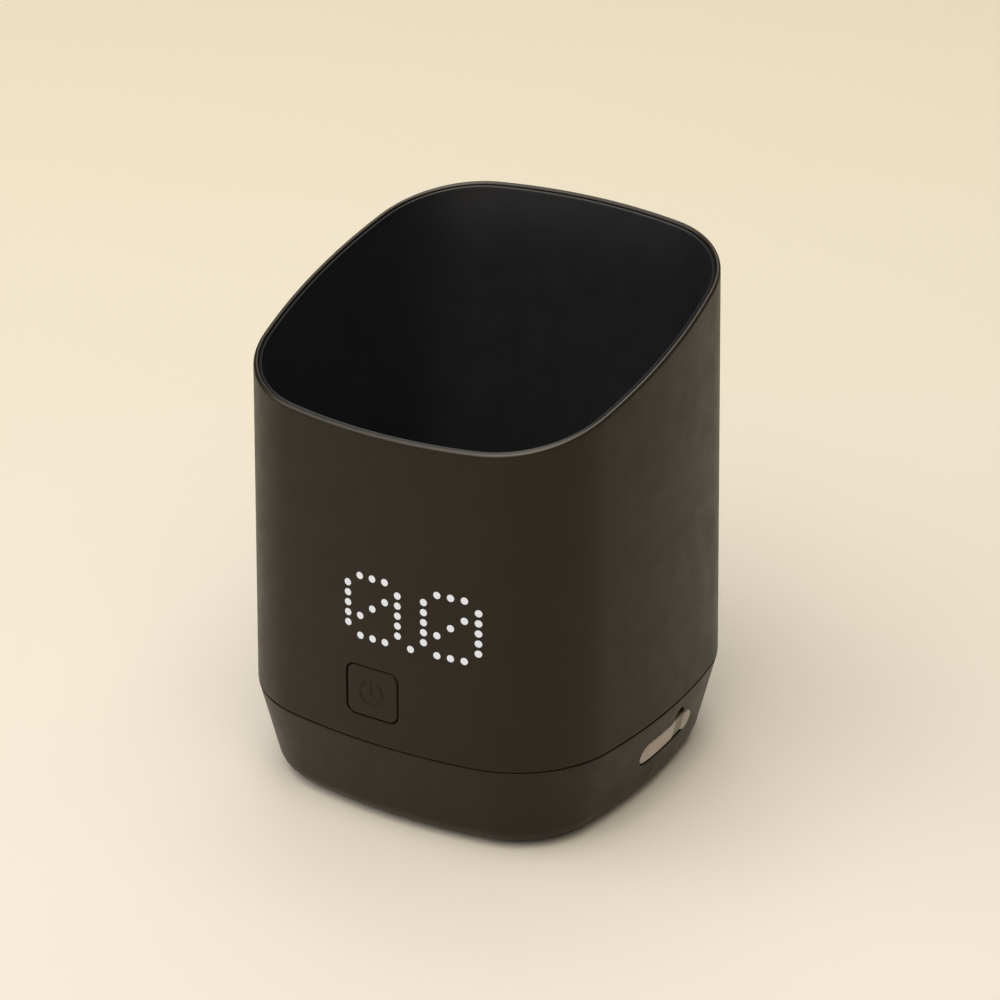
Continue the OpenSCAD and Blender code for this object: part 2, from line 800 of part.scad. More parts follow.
outer_shell();
inner_cup();
rim_seal();
base_shell();
seam_gasket();
for (i = [0 : 3])
    foot(i);
base_screws();
uv_window();
window_gasket();
uv_board();
uv_emitters();
uv_screws();
uv_leads();
front_board();
front_screws();
light_mask();
display_leds();
display_dots();
switch_body();
switch_stem();
power_button();
ribbon_cable();
main_board();
board_screws();
control_chip();
charge_chip();
power_coil();
capacitors();
cable_sockets();
battery();
battery_pad();
battery_leads();
usb_socket();
usb_tongue();
cover_anchor();
port_cover();
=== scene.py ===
"""The looks of the toothbrush sanitizer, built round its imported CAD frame.

Lengths of the part are in millimetres and are turned into metres when a mesh is made.
The floor, the lights, the camera and the depths of surface grain are in metres.
The casing, liner, base, seals, button, port cover, feet and read-out are modelled here as
closed meshes over the same outline that the CAD uses; what sits inside keeps its CAD mesh.
"""
import json
import math

import bmesh
import bpy
from mathutils import Matrix, Vector


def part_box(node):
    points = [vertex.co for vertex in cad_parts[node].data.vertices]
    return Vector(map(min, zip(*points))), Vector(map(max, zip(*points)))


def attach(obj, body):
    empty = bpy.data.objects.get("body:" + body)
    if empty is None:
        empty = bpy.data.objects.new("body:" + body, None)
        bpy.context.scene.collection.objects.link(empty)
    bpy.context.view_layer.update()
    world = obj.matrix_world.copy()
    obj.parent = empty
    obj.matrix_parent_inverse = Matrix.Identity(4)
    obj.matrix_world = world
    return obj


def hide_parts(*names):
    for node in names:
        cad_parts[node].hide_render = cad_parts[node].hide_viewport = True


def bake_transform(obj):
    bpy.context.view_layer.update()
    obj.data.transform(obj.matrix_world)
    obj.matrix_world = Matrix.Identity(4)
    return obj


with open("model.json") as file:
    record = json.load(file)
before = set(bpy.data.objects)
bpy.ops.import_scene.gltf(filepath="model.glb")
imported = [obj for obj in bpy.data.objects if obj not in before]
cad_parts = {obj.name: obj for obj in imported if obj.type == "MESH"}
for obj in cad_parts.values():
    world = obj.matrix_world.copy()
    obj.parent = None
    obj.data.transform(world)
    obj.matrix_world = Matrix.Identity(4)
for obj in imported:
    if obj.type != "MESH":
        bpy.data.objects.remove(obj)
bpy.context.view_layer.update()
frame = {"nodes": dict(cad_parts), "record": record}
MM = 0.001


def node_box(name):
    """A CAD node's lowest and highest corner, in millimetres."""
    low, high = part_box(name)
    return low / MM, high / MM


# ---------------------------------------------------------------- dimensions

shell_low, shell_high = node_box("outer_shell")
base_low = node_box("base_shell")[0]
foot_low, foot_high = node_box("foot_1")
button_low, button_high = node_box("power_button")
dots_low, dots_high = node_box("display_dots")

DRAFT = math.tan(math.radians(1.0))        # lean of the upper walls
TILT = math.tan(math.radians(14.7))        # slope of the mouth
SIDE_R = 115.6                             # bowed sides, at the mouth
CORNER_R = 21.1                            # upright corners, at the mouth
WALL = 1.6
RIM_T = 0.95
RIM_GAP = 0.25
LIP_T = 0.4
LIP_DROP = 0.3
CUP_BACK = 2.4
CUP_FLOOR_Z = 24.3
CUP_MID_Z = 61.0

SHELL_LOW_Z = shell_low.z
SEAM_GAP = 0.3
SEAM_LOW_Z = SHELL_LOW_Z - SEAM_GAP
SEAM_HALF = shell_high.x                   # half width where the two shells meet
# The mouth's centre height: the back edge is the highest point of the slanted rim.
MOUTH_Z = shell_high.z - TILT * (SEAM_HALF - DRAFT * (shell_high.z - SHELL_LOW_Z))
HALF = SEAM_HALF - DRAFT * (MOUTH_Z - SHELL_LOW_Z)

BASE_Z = base_low.z
BASE_HALF = 35.7
BASE_SIDE_R = 106.8
BASE_CORNER_R = 17.0
BASE_EDGE_R = 3.7
BASE_WALL = 2.4

DOT_D = 1.45
DOT_PITCH_X = 2.737
DOT_PITCH_Z = 2.065
DOT_TOP_Z = dots_high.z - DOT_D / 2
# The lit pair of digits spans eleven columns, the first of which touches the box's left edge.
DIGIT_X = dots_low.x + DOT_D / 2 + 2 * DOT_PITCH_X

FLANGE = 1.0
BUTTON_W = button_high.x - button_low.x - 2 * FLANGE
BUTTON_H = button_high.z - button_low.z - 2 * FLANGE
BUTTON_X = (button_high.x + button_low.x) / 2
BUTTON_Z = (button_high.z + button_low.z) / 2
BUTTON_R = 1.8
BUTTON_GAP = 0.3
BUTTON_GAP_Z = 0.2                         # finer above and below the cap

PORT_Z = 11.25
PORT_Y = 1.5
COVER_Y = 3.2
COVER_L = 19.7
COVER_H = 4.6
TAB_L = 2.9                                # raised tab at the cover's free end
NECK_W = 3.4                               # thin neck beside the tab
RECESS_GAP = 0.2
RECESS_D = 1.7
NOTCH_U = COVER_L / 2 - TAB_L - NECK_W     # middle of the finger notch, along the cover
SLOT_L, SLOT_H = 9.8, 4.1                  # opening behind the cover, for the socket
BASE_SLOPE = math.atan2(SEAM_HALF - BASE_HALF, SEAM_LOW_Z + SEAM_GAP / 2 - BASE_Z)

FOOT_D = foot_high.x - foot_low.x
FOOT_T = foot_high.z - foot_low.z

# ---------------------------------------------------------------- outline

SIDE_STEPS = 60                            # columns of a ring along one bowed side
CORNER_STEPS = 30                          # columns of a ring round one corner
FAR = 1000.0                               # stands for columns on the other sides of the part


def corner_centre(half, side_r, corner_r):
    """Where the corner arcs of a bowed, rounded square are centred, along both x and y."""
    c = side_r - half
    r = side_r - corner_r
    return (math.sqrt(2 * r * r - c * c) - c) / 2


CENTRE = corner_centre(HALF, SIDE_R, CORNER_R)
SIDE_A = math.atan2(CENTRE, CENTRE + SIDE_R - HALF)


def directions():
    """Outward directions, anticlockwise from the right side's front end."""
    quarter = [SIDE_A * (2 * i / SIDE_STEPS - 1) for i in range(SIDE_STEPS)]
    corner = math.pi / 2 - 2 * SIDE_A
    quarter += [SIDE_A + corner * i / CORNER_STEPS for i in range(CORNER_STEPS)]
    return [a + k * math.pi / 2 for k in range(4) for a in quarter]


DIRS = directions()


def edge(a, half, side_r, corner_r):
    """Point of the outline whose outward direction is a."""
    u = corner_centre(half, side_r, corner_r)
    s = math.atan2(u, u + side_r - half)
    k = math.floor((a + s) / (math.pi / 2))
    q = a - k * math.pi / 2
    if q < s:
        x, y = half - side_r + side_r * math.cos(q), side_r * math.sin(q)
    else:
        x, y = u + corner_r * math.cos(q), u + corner_r * math.sin(q)
    turn = k * math.pi / 2
    return (x * math.cos(turn) - y * math.sin(turn), x * math.sin(turn) + y * math.cos(turn))


def offset_ring(out, z, shift=0.0):
    """The body's outline moved outward by out, at height z."""
    points = []
    for a in DIRS:
        x, y = edge(a, HALF + out, SIDE_R + out, CORNER_R + out)
        points.append((x, y + shift, z))
    return points


def out_at(z):
    return (MOUTH_Z - z) * DRAFT


def wall_ring(inset, z):
    return offset_ring(out_at(z) - inset, z)


def mouth_ring(inset, drop=0.0):
    """The wall's outline cut by the slanted mouth, inset from it and dropped below it."""
    points = []
    for a in DIRS:
        x, y = edge(a, HALF - inset, SIDE_R - inset, CORNER_R - inset)
        out = DRAFT * (drop - TILT * y)
        x += out * math.cos(a)
        y += out * math.sin(a)
        points.append((x, y, MOUTH_Z - drop + TILT * y))
    return points


def mix(a, b, t):
    return a + (b - a) * t


def mix_rings(first, second, t):
    return [tuple(mix(p, q, t) for p, q in zip(a, b)) for a, b in zip(first, second)]


SEAM_OUT = SEAM_HALF - HALF
BASE_TOP_Z = SEAM_LOW_Z + SEAM_GAP / 2


def base_sizes(z, inset=0.0):
    """Half width, side radius and corner radius of the base's wall at height z."""
    t = (z - BASE_Z) / (BASE_TOP_Z - BASE_Z)
    return (
        mix(BASE_HALF, SEAM_HALF, t) - inset,
        mix(BASE_SIDE_R, SIDE_R + SEAM_OUT, t) - inset,
        mix(BASE_CORNER_R, CORNER_R + SEAM_OUT, t) - inset,
    )


def base_ring(z, inset=0.0):
    return [(*edge(a, *base_sizes(z, inset)), z) for a in DIRS]


def front_y(x, z, inset=0.0):
    """The front wall's surface at x and z, or a parallel surface inset from it."""
    out = out_at(z) - inset
    r = SIDE_R + out
    if abs(x) <= r * math.sin(SIDE_A):
        return -(HALF + out - r + math.sqrt(r * r - x * x))
    corner = CORNER_R + out
    return -(CENTRE + math.sqrt(corner**2 - (abs(x) - CENTRE) ** 2))


def base_x(y, z, inset=0.0):
    """The base's right wall at y and z, or a parallel surface inset from it."""
    half, side_r, _ = base_sizes(z, inset)
    return half - side_r + math.sqrt(side_r**2 - y * y)


# ---------------------------------------------------------------- mesh tools


class Skin:
    """A mesh grown from loops of points, in millimetres."""

    def __init__(self):
        self.points = []
        self.faces = []

    def loop(self, points):
        start = len(self.points)
        self.points.extend(points)
        return list(range(start, len(self.points)))

    def bridge(self, a, b, skip=()):
        """Quads between two closed loops of the same length, leaving out the steps in skip."""
        n = len(a)
        for i in range(n):
            if i not in skip:
                k = (i + 1) % n
                self.faces.append((a[i], a[k], b[k], b[i]))

    def chain(self, loops):
        """Quads from each loop to the next."""
        for a, b in zip(loops, loops[1:]):
            self.bridge(a, b)

    def cap(self, loop):
        self.faces.append(tuple(loop))

    def build(self, name, body, slot, material):
        """The finished object. body is None for a piece that is attached to no body."""
        mesh = bpy.data.meshes.new(name)
        mesh.from_pydata([Vector(p) * MM for p in self.points], [], self.faces)
        bm = bmesh.new()
        bm.from_mesh(mesh)
        bmesh.ops.remove_doubles(bm, verts=bm.verts, dist=1e-8)
        bmesh.ops.recalc_face_normals(bm, faces=bm.faces)
        bm.to_mesh(mesh)
        bm.free()
        mesh.polygons.foreach_set("use_smooth", [True] * len(mesh.polygons))
        obj = bpy.data.objects.new(name, mesh)
        bpy.context.scene.collection.objects.link(obj)
        mesh.materials.append(material)
        if body:
            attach(obj, body)
        return obj


def rounded(steps, r, start, end):
    """Offsets along a quarter round: (across, down) pairs between two angles in degrees."""
    pairs = []
    for i in range(steps + 1):
        a = math.radians(mix(start, end, i / steps))
        pairs.append((r * (1 - math.cos(a)), r * (1 - math.sin(a))))
    return pairs


def rounded_loop(x, z, w, h, r, across, up, arc):
    """Points round a rounded rectangle from its lower left, the same steps along each side.

    across and up are the steps along a horizontal and an upright side, and arc the steps of
    each that lie on half a corner.
    """
    r = max(min(r, w / 2, h / 2), 0.0)
    centres = [(-1, -1), (1, -1), (1, 1), (-1, 1)]
    points = []
    for side in range(4):
        n = across if side % 2 == 0 else up
        first, second = centres[side], centres[(side + 1) % 4]
        begin = math.radians(225 + 90 * side)
        eighth = math.pi / 4

        def at(corner, a):
            return (
                x + corner[0] * (w / 2 - r) + r * math.cos(a),
                z + corner[1] * (h / 2 - r) + r * math.sin(a),
            )

        for q in range(n):
            if q <= arc:
                points.append(at(first, begin + eighth * q / arc))
            elif q >= n - arc:
                points.append(at(second, begin + eighth + eighth * (q - n + arc) / arc))
            else:
                p, s = at(first, begin + eighth), at(second, begin + eighth)
                t = (q - arc) / (n - 2 * arc)
                points.append((mix(p[0], s[0], t), mix(p[1], s[1], t)))
    return points


def window_columns(low, high, coordinate):
    """First and last column whose coordinate lies just outside low and high."""
    inside = [i for i, c in enumerate(coordinate) if low < c < high]
    return inside[0] - 1, inside[-1] + 1


def window_edge(rows, first, last, low, high):
    """The boundary of a window of grid cells, in the order of rounded_loop."""
    bottom = [rows[low][i] for i in range(first, last)]
    right = [rows[j][last] for j in range(low, high)]
    top = [rows[high][i] for i in range(last, first, -1)]
    left = [rows[j][first] for j in range(high, low, -1)]
    return bottom + right + top + left


# ---------------------------------------------------------------- materials


def new_material(name):
    material = bpy.data.materials.new(name)
    material.use_nodes = True
    tree = material.node_tree
    tree.nodes.clear()
    output = tree.nodes.new("ShaderNodeOutputMaterial")
    shader = tree.nodes.new("ShaderNodeBsdfPrincipled")
    tree.links.new(shader.outputs["BSDF"], output.inputs["Surface"])
    return material, tree, shader


def add_noise(tree, scale, detail=3.0, roughness=0.5):
    place = tree.nodes.new("ShaderNodeTexCoord")
    noise = tree.nodes.new("ShaderNodeTexNoise")
    noise.inputs["Scale"].default_value = scale
    noise.inputs["Detail"].default_value = detail
    noise.inputs["Roughness"].default_value = roughness
    tree.links.new(place.outputs["Object"], noise.inputs["Vector"])
    return noise


def vary_colour(tree, shader, colour, amount, scale):
    """Base colour that drifts a little lighter and darker over the surface."""
    noise = add_noise(tree, scale)
    ramp = tree.nodes.new("ShaderNodeValToRGB")
    ramp.color_ramp.elements[0].position = 0.3
    ramp.color_ramp.elements[1].position = 0.7
    ramp.color_ramp.elements[0].color = (*[c * (1 - amount) for c in colour], 1)
    ramp.color_ramp.elements[1].color = (*[c * (1 + amount) for c in colour], 1)
    tree.links.new(noise.outputs["Fac"], ramp.inputs["Fac"])
    tree.links.new(ramp.outputs["Color"], shader.inputs["Base Color"])


def vary_roughness(tree, shader, low, high, scale):
    noise = add_noise(tree, scale, detail=4.0)
    span = tree.nodes.new("ShaderNodeMapRange")
    span.inputs["From Min"].default_value = 0.3
    span.inputs["From Max"].default_value = 0.7
    span.inputs["To Min"].default_value = low
    span.inputs["To Max"].default_value = high
    tree.links.new(noise.outputs["Fac"], span.inputs["Value"])
    tree.links.new(span.outputs["Result"], shader.inputs["Roughness"])


def grain(tree, shader, scale, depth):
    """Moulded texture: fine bumps of a given depth in metres."""
    noise = add_noise(tree, scale, detail=2.0, roughness=0.6)
    bump = tree.nodes.new("ShaderNodeBump")
    bump.inputs["Distance"].default_value = depth
    bump.inputs["Strength"].default_value = 1.0
    tree.links.new(noise.outputs["Fac"], bump.inputs["Height"])
    tree.links.new(bump.outputs["Normal"], shader.inputs["Normal"])


def moulded(name, colour, rough, drift=0.06, depth=0.00001, specular=0.5,
            sheen=(1.0, 1.0, 1.0)):
    """Moulded plastic or rubber with a fine texture. rough is its lowest and highest roughness."""
    material, tree, shader = new_material(name)
    vary_colour(tree, shader, colour, amount=drift, scale=60)
    vary_roughness(tree, shader, *rough, scale=220)
    grain(tree, shader, scale=1500, depth=depth)
    shader.inputs["Specular IOR Level"].default_value = specular
    shader.inputs["Specular Tint"].default_value = (*sheen, 1)
    return material


def metal(name, colour, rough):
    material, tree, shader = new_material(name)
    vary_colour(tree, shader, colour, amount=0.08, scale=300)
    vary_roughness(tree, shader, *rough, scale=900)
    grain(tree, shader, scale=2500, depth=0.000004)
    shader.inputs["Metallic"].default_value = 1.0
    return material


CASING_BROWN = (0.0098, 0.0074, 0.0052)
CASING_SPECULAR = 0.33
WARM_SHEEN = (1.0, 0.86, 0.72)


def polish_rim(material):
    """Smoother, brighter plastic along the casing's slanted top edge."""
    deep, shallow = 0.45, 0.2              # below the mouth, where the change begins and ends
    rim_roughness = 0.62                   # as a share of the wall's
    rim_specular = 0.85
    rim_sheen = (1.0, 0.98, 0.95)
    tree = material.node_tree
    shader = next(n for n in tree.nodes if n.type == "BSDF_PRINCIPLED")
    place = tree.nodes.new("ShaderNodeTexCoord")
    height = tree.nodes.new("ShaderNodeVectorMath")
    height.operation = "DOT_PRODUCT"
    height.inputs[1].default_value = (0, -TILT, 1)
    tree.links.new(place.outputs["Object"], height.inputs[0])

    def over_rim(low, high):
        span = tree.nodes.new("ShaderNodeMapRange")
        span.inputs["From Min"].default_value = (MOUTH_Z - deep) * MM
        span.inputs["From Max"].default_value = (MOUTH_Z - shallow) * MM
        span.inputs["To Min"].default_value = low
        span.inputs["To Max"].default_value = high
        tree.links.new(height.outputs["Value"], span.inputs["Value"])
        return span.outputs["Result"]

    smoother = tree.nodes.new("ShaderNodeMath")
    smoother.operation = "MULTIPLY"
    tree.links.new(shader.inputs["Roughness"].links[0].from_socket, smoother.inputs[0])
    tree.links.new(over_rim(1.0, rim_roughness), smoother.inputs[1])
    tree.links.new(smoother.outputs["Value"], shader.inputs["Roughness"])
    tree.links.new(over_rim(CASING_SPECULAR, rim_specular), shader.inputs["Specular IOR Level"])
    tint = tree.nodes.new("ShaderNodeValToRGB")
    tint.color_ramp.elements[0].color = (*WARM_SHEEN, 1)
    tint.color_ramp.elements[1].color = (*rim_sheen, 1)
    tree.links.new(over_rim(0.0, 1.0), tint.inputs["Fac"])
    tree.links.new(tint.outputs["Color"], shader.inputs["Specular Tint"])


body_plastic = moulded("body_plastic", CASING_BROWN, (0.42, 0.50),
                       specular=CASING_SPECULAR, sheen=WARM_SHEEN)
polish_rim(body_plastic)
base_plastic = moulded("base_plastic", (0.0090, 0.0064, 0.0040), (0.42, 0.50),
                       specular=CASING_SPECULAR, sheen=WARM_SHEEN)
button_plastic = moulded("button_plastic", CASING_BROWN, (0.40, 0.48),
                         specular=CASING_SPECULAR, sheen=WARM_SHEEN)
cup_plastic = moulded("cup_plastic", (0.0145, 0.0162, 0.0225), (0.36, 0.44),
                      drift=0.04, specular=0.72)
black_rubber = moulded("black_rubber", (0.006, 0.0055, 0.005), (0.6, 0.75))
foot_rubber = moulded("foot_rubber", (0.014, 0.013, 0.012), (0.65, 0.8))
black_plastic = moulded("black_plastic", (0.012, 0.012, 0.013), (0.35, 0.5))
white_plastic = moulded("white_plastic", (0.72, 0.71, 0.67), (0.4, 0.5))
clear_silicone = moulded("clear_silicone", (0.6, 0.6, 0.57), (0.45, 0.6))
lamp_ceramic = moulded("lamp_ceramic", (0.75, 0.70, 0.55), (0.4, 0.55))
capacitor_body = moulded("capacitor_body", (0.38, 0.26, 0.15), (0.35, 0.5))
black_foam = moulded("black_foam", (0.02, 0.02, 0.02), (0.85, 0.95), depth=0.0001)
red_wire = moulded("red_wire", (0.45, 0.02, 0.015), (0.3, 0.4))
black_wire = moulded("black_wire", (0.02, 0.02, 0.02), (0.3, 0.4))
coil_ferrite = moulded("coil_ferrite", (0.05, 0.05, 0.055), (0.5, 0.65))
ribbon_film = moulded("ribbon_film", (0.5, 0.22, 0.04), (0.25, 0.35))
circuit_board = moulded("circuit_board", (0.01, 0.11, 0.05), (0.25, 0.35))
lamp_board = moulded("lamp_board", (0.75, 0.75, 0.72), (0.3, 0.4))
screw_steel = metal("screw_steel", (0.55, 0.55, 0.56), (0.25, 0.4))
socket_steel = metal("socket_steel", (0.62, 0.62, 0.63), (0.2, 0.35))
battery_foil = metal("battery_foil", (0.6, 0.6, 0.61), (0.4, 0.55))


def silicone():
    """Translucent warm grey silicone of the port's cover, with painted shade across its neck."""
    material, tree, shader = new_material("cover_silicone")
    place = tree.nodes.new("ShaderNodeTexCoord")
    split = tree.nodes.new("ShaderNodeSeparateXYZ")
    along = tree.nodes.new("ShaderNodeValToRGB")
    tree.links.new(place.outputs["Generated"], split.inputs["Vector"])
    tree.links.new(split.outputs["Y"], along.inputs["Fac"])
    # Painted shade: the neck is painted darker, standing in for the dark recess that shows through
    # it where it is thin.
    thick, thin = (0.47, 0.41, 0.37, 1), (0.20, 0.195, 0.15, 1)
    # Where the colour changes, as shares of the cover's length.
    stops = [(0.645, thick), (0.675, thin), (0.845, thin), (0.86, thick)]
    ramp = along.color_ramp
    ramp.elements[0].position, ramp.elements[0].color = stops[0]
    ramp.elements[1].position, ramp.elements[1].color = stops[3]
    for position, colour in stops[1:3]:
        ramp.elements.new(position).color = colour
    tree.links.new(along.outputs["Color"], shader.inputs["Base Color"])
    vary_roughness(tree, shader, 0.42, 0.55, scale=500)
    grain(tree, shader, scale=2200, depth=0.000008)
    shader.inputs["Subsurface Weight"].default_value = 0.35
    shader.inputs["Subsurface Radius"].default_value = (1.0, 0.8, 0.6)
    shader.inputs["Subsurface Scale"].default_value = 0.0012
    return material


def glow():
    """White light behind a dot of the read-out."""
    material, tree, shader = new_material("lit_dots")
    vary_colour(tree, shader, (0.2, 0.2, 0.22), amount=0.03, scale=500)
    shader.inputs["Roughness"].default_value = 0.5
    shader.inputs["Emission Color"].default_value = (0.97, 0.98, 1.0, 1)
    shader.inputs["Emission Strength"].default_value = 0.56
    return material


def quartz():
    material, tree, shader = new_material("window_glass")
    vary_colour(tree, shader, (0.9, 0.94, 1.0), amount=0.02, scale=100)
    shader.inputs["Roughness"].default_value = 0.03
    shader.inputs["IOR"].default_value = 1.46
    shader.inputs["Transmission Weight"].default_value = 1.0
    return material


cover_silicone = silicone()
lit_dots = glow()
window_glass = quartz()


# ---------------------------------------------------------------- upper casing


# Heights of the wall's rings, close together round the button.
WALL_LEVELS = [22.0 + i for i in range(18)] + [CUP_MID_Z]
SEAM_EDGE_R = 0.18                         # rounding of the two edges that meet at the seam


def shell_rows():
    """Rings of the casing, up the outside from its lower edge, over the rim and down the inside."""
    edge_r = SEAM_EDGE_R
    lower = [wall_ring(edge_r - edge_r * math.sin(a), SHELL_LOW_Z + edge_r - edge_r * math.cos(a))
             for a in (i * math.pi / 8 for i in range(5))]
    outside = [wall_ring(0, z) for z in [SHELL_LOW_Z + 0.7] + WALL_LEVELS]
    rim_outer, rim_inner = 0.55, 0.38
    over = [mouth_ring(0, 8.0), mouth_ring(0, 1.2)]
    over += [mouth_ring(i, d) for i, d in rounded(6, rim_outer, 0, 90)]
    over += [mouth_ring(RIM_T - i, d) for i, d in reversed(rounded(5, rim_inner, 0, 90))]
    over += [mouth_ring(RIM_T, 1.0), mouth_ring(RIM_T, 6.0)]
    inside = [wall_ring(WALL, z) for z in reversed(WALL_LEVELS)]
    inside += [wall_ring(WALL, SHELL_LOW_Z + 0.3), wall_ring(WALL, SHELL_LOW_Z)]
    return lower + outside + over + inside, len(lower), len(outside)


def make_shell():
    rings, lower, outside = shell_rows()
    skin = Skin()
    rows = [skin.loop(r) for r in rings]
    margin = 1.6                           # between the button and the window cut for it
    xs = [p[0] if p[1] < 0 else FAR for p in rings[lower + 1]]
    first, last = window_columns(
        BUTTON_X - BUTTON_W / 2 - margin, BUTTON_X + BUTTON_W / 2 + margin, xs)
    reach = BUTTON_H / 2 + margin
    heights = [r[0][2] for r in rings]
    low = max(j for j in range(lower, lower + outside) if heights[j] < BUTTON_Z - reach)
    high = min(j for j in range(lower, lower + outside) if heights[j] > BUTTON_Z + reach)
    # The same window on the inside, where the rows run downward.
    inner_low = max(j for j in range(len(rings) - 1, 0, -1) if heights[j] == heights[low])
    inner_high = inner_low - (high - low)
    hidden = range(first, last)
    count = len(rows)
    for j in range(count):
        cut = low <= j < high or inner_high <= j < inner_low
        skin.bridge(rows[j], rows[(j + 1) % count], hidden if cut else ())

    def hole(grow, depth):
        flat = rounded_loop(
            BUTTON_X, BUTTON_Z,
            BUTTON_W + 2 * (BUTTON_GAP + grow), BUTTON_H + 2 * (BUTTON_GAP_Z + grow),
            BUTTON_R + BUTTON_GAP_Z + grow, last - first, high - low, arc=5)
        return [(x, front_y(x, z) + depth, z) for x, z in flat]

    edge_r = 0.22
    flat_w = 0.9                           # band of even wall kept round the hole
    loops = [window_edge(rows, first, last, low, high)]
    loops += [skin.loop(hole(flat_w, 0)), skin.loop(hole(edge_r + 0.12, 0))]
    for step in range(5):
        a = step / 4 * math.pi / 2
        loops.append(skin.loop(hole(edge_r * (1 - math.sin(a)), edge_r * (1 - math.cos(a)))))
    loops += [skin.loop(hole(0, WALL * 0.6)), skin.loop(hole(0, WALL)),
              skin.loop(hole(flat_w, WALL))]
    # Join the tunnel to the same window on the inner face.
    inner = window_edge(list(reversed(rows)), first, last,
                        count - 1 - inner_low, count - 1 - inner_high)
    loops.append(inner)
    skin.chain(loops)
    piece = skin.build("casing", "root", "body_plastic", body_plastic)
    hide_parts("outer_shell")


def symbol_depth(x, z):
    """How deep the power mark is sunk at a point measured from the button's centre."""
    depth, soft = 0.2, 0.12
    stroke = 0.3                           # half the width of a line
    ring_r = 2.45
    bar_low, bar_high = -0.4, 2.6
    angle = abs(math.atan2(x, z))
    gap = math.radians(33)
    ring = abs(math.hypot(x, z) - ring_r) - stroke
    if angle < gap:
        end_x, end_z = ring_r * math.sin(gap), ring_r * math.cos(gap)
        ring = math.hypot(abs(x) - end_x, z - end_z) - stroke
    bar = math.hypot(x, z - min(max(z, bar_low), bar_high)) - stroke
    t = min(max(-min(ring, bar) / soft + 0.5, 0.0), 1.0)
    return depth * t * t * (3 - 2 * t)


def make_button():
    skin = Skin()
    across, up, arc = 72, 68, 20
    sunk = 0.05
    edge_r = 0.3

    def cap_loop(shrink, depth):
        flat = rounded_loop(
            BUTTON_X, BUTTON_Z, BUTTON_W - 2 * shrink, BUTTON_H - 2 * shrink,
            BUTTON_R - shrink, across, up, arc)
        return [(x, front_y(x, z) + sunk + depth, z) for x, z in flat]

    loops = [cap_loop(0, 1.0), cap_loop(0, edge_r + 0.3)]
    loops += [cap_loop(edge_r * (1 - math.cos(a)), edge_r * (1 - math.sin(a)))
              for a in (i * math.pi / 10 for i in range(6))]
    loops.append(cap_loop(edge_r + 0.15, 0))
    # Inside the rounded edge the loops shrink towards the centre, dense enough to carry the mark.
    start = cap_loop(1.0, 0)
    steps = 54
    loops.append(start)
    for i in range(1, steps):
        t = 1 - i / steps
        ring = []
        for x, _, z in start:
            px, pz = BUTTON_X + (x - BUTTON_X) * t, BUTTON_Z + (z - BUTTON_Z) * t
            d = symbol_depth(px - BUTTON_X, pz - BUTTON_Z)
            ring.append((px, front_y(px, pz) + sunk + d, pz))
        loops.append(ring)
    face_y = front_y(BUTTON_X, BUTTON_Z)
    flange_y, flange_t, rod_r = face_y + WALL + 0.45, 0.8, 2.0

    def flat_loop(grow, y):
        flat = rounded_loop(BUTTON_X, BUTTON_Z, BUTTON_W + 2 * grow, BUTTON_H + 2 * grow,
                            BUTTON_R + grow, across, up, arc)
        return [(x, y, z) for x, z in flat]

    def rod_loop(y):
        count = 2 * (across + up)
        turns = [math.radians(225 + 360 * i / count) for i in range(count)]
        return [(BUTTON_X + rod_r * math.cos(a), y, BUTTON_Z + rod_r * math.sin(a)) for a in turns]

    # The rod stops just short of the switch's face when the button is pressed home.
    rod_gap = 0.05
    behind = [rod_loop(button_high.y - rod_gap), rod_loop(flange_y + flange_t),
              flat_loop(FLANGE, flange_y + flange_t), flat_loop(FLANGE, flange_y),
              flat_loop(0, flange_y)]
    indices = [skin.loop(p) for p in behind + loops]
    skin.chain(indices)
    skin.cap(indices[-1])
    skin.cap(indices[0])
    piece = skin.build("button_cap", "power_button", "button_plastic", button_plastic)
    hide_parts("power_button")


# ---------------------------------------------------------------- cup


def ring_band(rings):
    """Closed band through the rings, the last joined to the first."""
    skin = Skin()
    rows = [skin.loop(r) for r in rings]
    for j, row in enumerate(rows):
        skin.bridge(row, rows[(j + 1) % len(rows)])
    return skin


